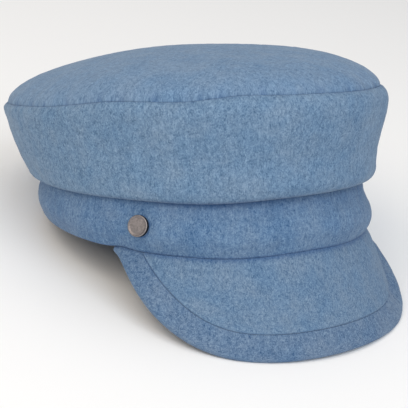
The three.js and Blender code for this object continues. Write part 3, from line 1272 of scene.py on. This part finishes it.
    def spot(self, points: Array) -> tuple[Array, Array]:
        """A point's place across and along the head, as shares of the band's half sizes."""
        form = self.form
        return points[..., 0] / form.band_half_width, points[..., 1] / form.band_half_length

    def slump(self, points: Array) -> Array:
        """The top cloth's slow unevenness: two long waves, fading at its edge.

        Args:
            points: Points of the dome in the worn frame.

        Returns:
            Heights to add.
        """
        x, y = self.spot(points)
        held = np.clip(1.0 - 0.75 * (x**2 + y**2), 0.0, 1.0)
        waves = np.sin(2.6 * x + 1.9 * y + 0.4) + 0.5 * np.sin(4.4 * y - 3.0 * x)
        return self.slump_height * held * waves

    def flank(self, points: Array) -> Array:
        """The height of a slight fullness of the dome above the wearer's left temple."""
        x, y = self.spot(points)
        return self.flank_height * bump(np.hypot(x - 0.95, y + 0.2), 0.5)

    def build(self, wardrobe: Wardrobe) -> None:
        """Makes and dresses the crown's two pieces."""
        wardrobe.dress(self.wall().build(), Skin.WALL, "crown_side")
        wardrobe.dress(self.dome().build(), Skin.TOP, "crown_top")


@dataclass
class Band:
    """The plain head band with its turned hem."""

    form: CapForm
    standing: Standing
    button: "Button"
    angles: Array = field(default_factory=lambda: ring_angles(600, 6))
    section_points: int = 120
    wave_height: float = 0.3 * MM
    back_seam_depth: float = 0.4 * MM
    # Painted shade: down the back seam, just under the fold (strongest at the front on the wearer's right),
    # more softly further down except on the wearer's right side, where the band is darkened evenly instead,
    # along the hem, and a painted shadow around the button.
    back_seam_shade: float = 0.5
    fold_front_shade: Drift = Drift(-38.0, 24.06, 0.45)
    fold_reach: float = 1.8 * MM
    soft_shade: float = 0.14
    soft_reach: float = 7.0 * MM
    soft_shade_gap: Drift = Drift(-105.0, 42.97, 1.0)
    side_shade: Drift = Drift(-95.0, 34.38, 0.12)
    hem_shade: float = 0.4
    hem_reach: float = 0.9 * MM
    button_shadow_reach: float = 0.35 * MM

    def controls(self) -> Array:
        """The corners of the band's section, outer face up and inner face down.

        Returns:
            Distances out and heights, shaped (corners, angles, 2).
        """
        form, angle = self.form, self.angles
        rows = form.band_rows
        outer = [form.band_corner(row, angle) for row in rows]
        inner = [form.band_corner(row, angle, form.band_thickness) for row in rows[::-1] if row.inner]
        top = [outer[-1] + np.array([-0.8, 0.0]) * MM, inner[0] + np.array([0.8, 0.0]) * MM]
        heel = inner[-1] + np.array([0.1, 0.8]) * MM
        sole = [inner[-1] + np.array([0.9, 0.0]) * MM, outer[0] + np.array([-0.5, 0.0]) * MM]
        toe = outer[0] + np.array([0.5, 0.25]) * MM
        outer[-1] = outer[-1] + np.array([0.0, -0.5]) * MM
        inner[0] = inner[0] + np.array([0.0, -0.5]) * MM
        return np.stack([*outer[1:], *top, *inner[:-1], heel, *sole, toe])

    def button_shadow(self, worn: Array) -> Array:
        """The painted shadow around the button, deepest below it and towards the front.

        Args:
            worn: Points of the band.

        Returns:
            The shade at each point.
        """
        point, axes = self.button.seat()
        across, upward = np.moveaxis((worn - point) @ axes[:, :2], -1, 0)
        apart = np.hypot(across, upward)
        side = np.clip((across - 0.25 * upward) / np.maximum(apart, MM), 0.0, 1.0)
        away = apart - self.button.radius - 0.2 * MM
        return (0.25 + 0.4 * side) * bump(away, self.button_shadow_reach)

    def grid(self) -> GridMesh:
        """The band, one closed loop carried around the head, with finer steps at the button.

        Returns:
            The band's grid.
        """
        form = self.form
        beside = self.button.angle + np.linspace(-0.09, 0.09, 61)
        angle = self.angles = np.unique(np.concatenate([self.angles, beside]))
        loop = smooth_loop(self.controls(), self.section_points)
        out, height = loop[..., 0], loop[..., 1]
        turn = np.broadcast_to(angle, out.shape)
        under_fold = form.fold_height(angle) - height
        above_hem = height - form.hem_height(angle)
        up = above_hem / (form.fold_height(angle) - form.hem_height(angle))
        outer = np.arange(self.section_points)[:, None] < self.section_points * 0.45
        seam = form.back_seam(turn) * outer
        held = smooth_step(up, 0.0, 0.2) * (1.0 - smooth_step(up, 0.7, 1.0))
        waves = np.sin(7.0 * turn + 1.0) + 0.6 * np.sin(12.0 * turn + 2.0 * up)
        out = out + self.wave_height * held * waves + form.fullness(turn, up)
        out = out + felt_relief(form.ring(turn, out, height)) * smooth_step(up, 0.0, 0.1)
        worn = form.ring(turn, out - self.back_seam_depth * seam, height)
        # Painted shade: down the back seam, under the fold, on the wearer's right side and along the hem,
        # and a painted shadow around the button.
        fold = self.fold_front_shade.at(turn) * bump(under_fold, self.fold_reach)
        soft = (1.0 - self.soft_shade_gap.at(turn)) * bump(under_fold, self.soft_reach)
        shade = self.back_seam_shade * seam + fold + self.soft_shade * soft
        shade = shade + self.side_shade.at(turn)
        shade = np.maximum(shade, self.hem_shade * bump(above_hem, self.hem_reach))
        shade = np.maximum(shade, self.button_shadow(worn) * outer)
        uv = np.stack([turn * form.band_half_length + 1.0, height], axis=-1)
        return GridMesh.carried("cap_band", self.standing.pressed(worn), uv, shade, close_rows=True)

    def build(self, wardrobe: Wardrobe) -> None:
        """Makes and dresses the band."""
        wardrobe.dress(self.grid().build(), Skin.BAND, "band")


@dataclass
class Peak:
    """The stiffened peak: its middle, and the wide bound edge around it."""

    form: CapForm
    standing: Standing
    panel_steps: int = 260
    border_steps: int = 420
    panel_points: int = 150
    border_points: int = 80
    cloth_radius: float = 0.115
    seam_gap: float = 0.04 * MM
    # Painted shade along the panel's seam: its reach and strength, darker towards the wearer's left end and
    # wider at the right one, and a patch of painted shade beside it on the wearer's left.
    seam_reach: float = 0.4 * MM
    seam_shade: float = 0.12
    seam_shade_left: Drift = Drift(47.0, 12.0, 1.8)
    seam_shade_right: Drift = Drift(-62.0, 9.0, 0.3)
    seam_shade_right_reach: float = 0.8 * MM
    corner_shade: Drift = Drift(50.0, 13.0, 0.22)
    corner_reach: float = 1.5 * MM
    crowning: float = 0.7 * MM
    tuck: float = 0.7 * MM
    panel_end: float = 1.2 * MM
    border_end: float = 2.4 * MM

    def fan(self, steps: int, last: float) -> Array:
        """Angles across the peak, a little closer together towards its tips.

        Args:
            steps: The number of steps.
            last: The angle at which the peak stops.

        Returns:
            The angles, from the wearer's left to the right.
        """
        turn = np.linspace(math.pi / 2.0, -math.pi / 2.0, steps + 1)
        even = np.linspace(1.0, -1.0, steps + 1)
        return last * (0.4 * np.sin(turn) + 0.6 * even)

    def seam_shade_line(self, angle: Array, away: Array) -> Array:
        """The painted shade along the panel's seam, at distances from it, wider and darker at its two ends.
        """
        line = self.seam_shade * (1.0 + self.seam_shade_left.at(angle)) * bump(away, self.seam_reach)
        return line + self.seam_shade_right.at(angle) * bump(away, self.seam_shade_right_reach)

    def panel_reach(self, angle: Array) -> Array:
        """How far the panel reaches from its root."""
        return self.form.peak_reach(angle) - self.form.border_span(angle) - self.seam_gap

    def section(self, corners: list[tuple[object, object]], steps: int, points: int) -> Array:
        """A smooth loop through corners, at every step across the peak.

        Args:
            corners: Distances down the slope and depths, each a number or one for each step.
            steps: The number of steps across the peak.
            points: How many points the loop gets.

        Returns:
            Distances and depths, shaped (points, steps + 1, 2).
        """
        level = np.zeros(steps + 1)
        rows = [np.stack([level + down, level + depth], axis=-1) for down, depth in corners]
        return smooth_loop(np.stack(rows), points)

    def panel(self) -> GridMesh:
        """The middle of the peak: a rounded slab from under the hem to the border's seam.

        Returns:
            The panel's grid.
        """
        form = self.form
        angle = self.fan(self.panel_steps, form.angle_where(self.panel_reach, self.panel_end))
        reach = self.panel_reach(angle)
        round_off = np.minimum(0.4 * MM, reach / 4.0)
        thick = form.peak_thickness
        proud = self.crowning * np.clip(reach / (30.0 * MM), 0.0, 1.0)
        corners = [
            (-self.tuck, thick - 0.8 * MM),
            (0.5 * MM, thick),
            (0.3 * reach, thick),
            (0.7 * reach, thick),
            (reach - round_off, thick),
            (reach - 0.2 * round_off, thick - 0.3 * MM),
            (reach, thick - 1.0 * MM),
            (reach, 0.7 * MM),
            (reach - 0.1 * round_off, 0.1 * MM),
            (reach - round_off, -0.15 * MM),
            (reach - 6.0 * round_off, -0.3 * MM),
            (0.6 * reach, -proud),
            (0.3 * reach, -proud),
            (0.5 * MM, 0.0),
            (-0.6 * self.tuck, 0.0),
            (-self.tuck, 0.3 * MM),
        ]
        loop = self.section(corners, self.panel_steps, self.panel_points)
        # Painted shade: along the seam with the border, and at the root under the hem.
        root = 0.4 * bump(loop[..., 0], 1.8 * MM)
        shade = np.maximum(self.seam_shade_line(angle, reach - loop[..., 0]), root)
        return self.grid("cap_peak_panel", angle, loop, shade)

    def border(self) -> GridMesh:
        """The bound edge: a strip folded round the peak's rim, with a round outer edge.

        Returns:
            The border's grid.
        """
        form = self.form
        angle = self.fan(self.border_steps, form.angle_where(form.peak_reach, self.border_end))
        reach = form.peak_reach(angle)
        low, high = self.panel_end - 0.3 * MM, self.panel_end + 0.3 * MM
        beside = smooth_step(self.panel_reach(angle), low, high)
        start = (reach - form.border_span(angle)) * beside - self.tuck * (1.0 - beside)
        radius = form.border_thickness / 2.0
        top = (form.peak_thickness - form.border_thickness) / 2.0
        bottom = top + form.border_thickness
        bulge = np.minimum(radius, reach / 2.0)
        edge = reach - bulge
        middle = (start + edge) / 2.0
        round_off = np.minimum(0.35 * MM, (edge - start) / 4.0)
        rim = [
            (edge + bulge * math.cos(turn), top + radius * (1.0 - math.sin(turn)))
            for turn in np.linspace(-math.pi / 2.0, math.pi / 2.0, 7)
        ]
        corners = [
            (start, bottom - 0.8 * MM),
            (start + 0.3 * round_off, bottom - 0.2 * MM),
            (start + round_off, bottom),
            (middle, bottom + 0.1 * MM),
            *rim,
            (middle, top - 0.15 * MM),
            (start + 3.0 * round_off, top + 0.05 * MM),
            (start + 0.3 * round_off, top + 0.15 * MM),
            (start, top + 0.7 * MM),
        ]
        loop = self.section(corners, self.border_steps, self.border_points)
        away = loop[..., 0] - start
        # Painted shade: along the seam with the panel, in a patch beside it on the wearer's left, and under
        # the hem at the root.
        seam = self.seam_shade_line(angle, away) * beside
        corner = self.corner_shade.at(angle) * bump(away, self.corner_reach)
        under_hem_shade = 0.25 * bump(loop[..., 0], 1.5 * MM)
        shade = np.maximum(np.maximum(seam, corner), under_hem_shade)
        return self.grid("cap_peak_border", angle, loop, shade)

    def grid(self, name: str, angle: Array, loop: Array, shade: Array) -> GridMesh:
        """Carries section loops of distance and depth around the peak.

        Args:
            name: The piece's name.
            angle: The angle of each section.
            loop: Distances down the slope and depths, shaped (points, angles, 2).
            shade: The painted shade at each point.

        Returns:
            The piece's grid.
        """
        turn = np.broadcast_to(angle, loop.shape[:2])
        face = self.form.peak_layer(turn, loop[..., 0], loop[..., 1])
        worn = self.form.peak_layer(turn, loop[..., 0], loop[..., 1] + felt_relief(face))
        placed = self.standing.pressed(worn)
        uv = np.stack([turn * self.cloth_radius + 3.0, loop[..., 0] + 4.0 * loop[..., 1]], axis=-1)
        return GridMesh.carried(name, placed[::-1], uv[::-1], shade[::-1], cap_ends=True)

    def build(self, wardrobe: Wardrobe) -> None:
        """Makes and dresses the peak's two pieces."""
        wardrobe.dress(self.panel().build(), Skin.PEAK, "peak_panel")
        wardrobe.dress(self.border().build(), Skin.BORDER, "peak_border")


@dataclass
class Button:
    """The round metal button on the wearer's right, with its post and washer."""

    form: CapForm
    standing: Standing
    angle: float = math.radians(-60.9)
    share: float = 0.51
    radius: float = 5.75 * MM
    thickness: float = 2.4 * MM
    rim_width: float = 0.8 * MM
    rim_depth: float = 0.3 * MM
    post_radius: float = 1.6 * MM
    washer_radius: float = 4.0 * MM
    washer_thickness: float = 0.8 * MM
    bevel: float = 0.45 * MM
    floor_swell: float = 0.12 * MM
    sides: int = 96

    @property
    def back(self) -> float:
        """The height of the disc's back above the band's face."""
        return 2.0 * self.form.gap

    @property
    def dish(self) -> float:
        """The radius of the hollow within the rim."""
        return self.radius - self.rim_width

    def profile(self) -> Array:
        """Radii and heights of the turned profile, from behind the washer to the face.

        Returns:
            The profile's corners, shaped (corners, 2).
        """
        back, face, bevel = self.back, self.back + self.thickness, self.bevel
        washer = -self.form.band_thickness - self.back
        behind = washer - self.washer_thickness
        turn = np.linspace(0.0, math.pi / 2.0, 5)
        inward = np.linspace(1.0, 0.02, 8)
        post = [
            (0.1 * MM, behind),
            (self.washer_radius - 0.2 * MM, behind),
            (self.washer_radius, behind + 0.2 * MM),
            (self.washer_radius, washer - 0.1 * MM),
            (self.washer_radius - 0.1 * MM, washer),
            (self.post_radius, washer),
            (self.post_radius, back),
        ]
        lower = (self.radius - bevel + bevel * np.sin(turn), back + bevel - bevel * np.cos(turn))
        upper = (self.radius - bevel + bevel * np.cos(turn), face - bevel + bevel * np.sin(turn))
        lip = [(self.dish + 0.12 * MM, face), (self.dish - 0.05 * MM, face - 0.06 * MM)]
        swell = self.floor_swell * (1.0 - inward**2)
        floor = ((self.dish - self.rim_depth) * inward, face - self.rim_depth + swell)
        return np.concatenate([
            post, np.stack(lower, axis=-1), np.stack(upper, axis=-1), lip, np.stack(floor, axis=-1),
        ])

    def seat(self) -> tuple[Array, Array]:
        """The point of the band's outer face behind the button, and the way that it faces.

        Returns:
            The point and the three axes of the button's own frame as columns.
        """
        rows = self.form.band_rows
        upper = next(i for i, row in enumerate(rows) if row.up > self.share)
        low, high = rows[upper - 1], rows[upper]
        share = (self.share - low.up) / (high.up - low.up)

        def point(row: SectionRow, angle: float) -> Array:
            """A row's point of the band's outer face."""
            turn = np.array(angle)
            corner = self.form.band_corner(row, turn)
            return self.form.ring(turn, corner[..., 0], corner[..., 1])

        def on_band(angle: float) -> Array:
            """The point at the button's share of the band's height."""
            return (1.0 - share) * point(low, angle) + share * point(high, angle)

        step = 0.01
        across = unit(on_band(self.angle + step) - on_band(self.angle - step))
        upward = point(high, self.angle) - point(low, self.angle)
        out = unit(np.cross(across, upward))
        return on_band(self.angle), np.stack([across, np.cross(out, across), out], axis=-1)

    def build(self, wardrobe: Wardrobe) -> None:
        """Turns the profile into the button, puts it on the band and dresses it."""
        radius, height = np.split(self.profile(), 2, axis=1)
        turn = np.linspace(2.0 * math.pi, 0.0, self.sides, endpoint=False)
        across, upward = radius * np.cos(turn), radius * np.sin(turn)
        own = np.stack([across, upward, np.broadcast_to(height, across.shape)], axis=-1)
        point, axes = self.seat()
        worn = point + own @ axes.T
        # Painted shade: a ring where the hollow meets the rim, and the side and the back of the button
        # wholly dark.
        corner = 0.3 * bump(radius - self.dish + 0.15 * MM, 0.25 * MM) * (height > 0.0)
        beyond = radius > self.dish + 0.2 * MM
        side = beyond & (height < self.back + self.thickness - 0.2 * MM)
        shade = np.where(side | (height <= self.back), 1.0, corner)
        shade = np.broadcast_to(shade, across.shape)
        placed = self.standing.placed(worn)
        grid = GridMesh("cap_button", placed, own[..., :2], shade, tip_ends=True)
        wardrobe.dress(grid.build(), Skin.PEWTER, "side_button")


@dataclass(frozen=True)
class PhotoCamera:
    """The camera that took the photograph, placed around the worn cap."""

    azimuth: float = math.radians(-38.0)
    elevation: float = math.radians(7.68)
    roll: float = math.radians(-2.96)
    distance: float = 0.7
    target: tuple[float, float, float] = (0.00207, 0.0, 0.01649)
    sensor: float = 36.0
    focal_length: float = 104.2

    def build(self, standing: Standing) -> None:
        """Makes the camera, tipped back with the cap, and hands it to the scene.

        Args:
            standing: How the cap stands.
        """
        back = facing(self.azimuth, self.elevation)
        right = unit(np.cross(-back, [0.0, 0.0, 1.0]))
        up = np.cross(back, right)
        cosine, sine = math.cos(self.roll), math.sin(self.roll)
        rolled = [right * cosine + up * sine, up * cosine - right * sine, back]
        axes = [standing.turned(axis) for axis in rolled]
        place = standing.placed(np.array(self.target) + back * self.distance)
        data = bpy.data.cameras.new("photo_camera")
        data.sensor_width = self.sensor
        data.lens = self.focal_length
        data.clip_start, data.clip_end = 0.05, 20.0
        camera = linked("photo_camera", data)
        rows = [[*(axis[i] for axis in axes), place[i]] for i in range(3)]
        camera.matrix_world = Matrix([*rows, [0.0, 0.0, 0.0, 1.0]])
        bpy.context.scene.camera = camera


@dataclass(frozen=True)
class Softbox:
    """A soft square light that faces the cap, placed by its azimuth and elevation in degrees."""

    name: str
    azimuth: float
    elevation: float
    watts: float
    colour: Rgb = (1.0, 1.0, 1.0)
    distance: float = 1.9
    size: float = 1.3

    def build(self, aim: Vector) -> None:
        """Makes the light.

        Args:
            aim: The point that it faces.
        """
        data = bpy.data.lights.new(self.name, "AREA")
        data.shape = "SQUARE"
        data.size = self.size
        data.energy = self.watts
        data.color = self.colour
        way = Vector(facing(math.radians(self.azimuth), math.radians(self.elevation)))
        light = linked(self.name, data)
        light.location = aim + way * self.distance
        light.rotation_euler = way.to_track_quat("Z", "Y").to_euler()
        light.visible_camera = False


@dataclass(frozen=True)
class Studio:
    """The pale floor, the even white surround and the soft lights."""

    floor_half: float = 4.0
    surround: float = 0.525
    lights: tuple[Softbox, ...] = (
        Softbox("left", -76.0, 45.0, 13.0, (1.13, 1.0, 0.85)),
        Softbox("right", -6.0, 45.0, 10.8, (0.92, 1.0, 1.1)),
        Softbox("front", -41.0, 12.0, 3.4),
        Softbox("top", 139.0, 78.0, 4.0),
    )

    def build(self) -> None:
        """Makes the floor, the surround and the lights."""
        half = self.floor_half
        corners = [(-half, -half, 0.0), (half, -half, 0.0), (half, half, 0.0), (-half, half, 0.0)]
        mesh = bpy.data.meshes.new("floor")
        mesh.from_pydata(corners, [], [(0, 1, 2, 3)])
        floor = linked("floor", mesh)
        paper, sheet = blank_material("floor_paper")
        sheet.finish({
            "Base Color": (0.93, 0.93, 0.93, 1.0),
            "Roughness": 1.0,
            "Specular IOR Level": 0.0,
        })
        mesh.materials.append(paper)
        floor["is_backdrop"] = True
        world = bpy.data.worlds.new("surround")
        world.use_nodes = True
        glow = world.node_tree.nodes["Background"]
        glow.inputs["Color"].default_value = (1.0, 1.0, 1.0, 1.0)
        glow.inputs["Strength"].default_value = self.surround
        bpy.context.scene.world = world
        bpy.context.scene.view_settings.view_transform = "Standard"
        low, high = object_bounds()
        for light in self.lights:
            light.build((low + high) / 2.0)


def main() -> None:
    """Builds the camera, the cap's sub-assemblies and the studio."""
    logging.basicConfig(level=logging.INFO, format="%(name)s: %(message)s")
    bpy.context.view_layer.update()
    form = CapForm()
    standing = Standing.of(form)
    LOG.info("tilt %.2f degrees, moved %.2f and %.2f mm", math.degrees(standing.tilt),
             standing.shift_y / MM, standing.shift_z / MM)
    PhotoCamera().build(standing)
    wardrobe = Wardrobe()
    Crown(form, standing).build(wardrobe)
    button = Button(form, standing)
    Band(form, standing, button).build(wardrobe)
    Peak(form, standing).build(wardrobe)
    button.build(wardrobe)
    Studio().build()


if __name__ == "__main__":
    main()
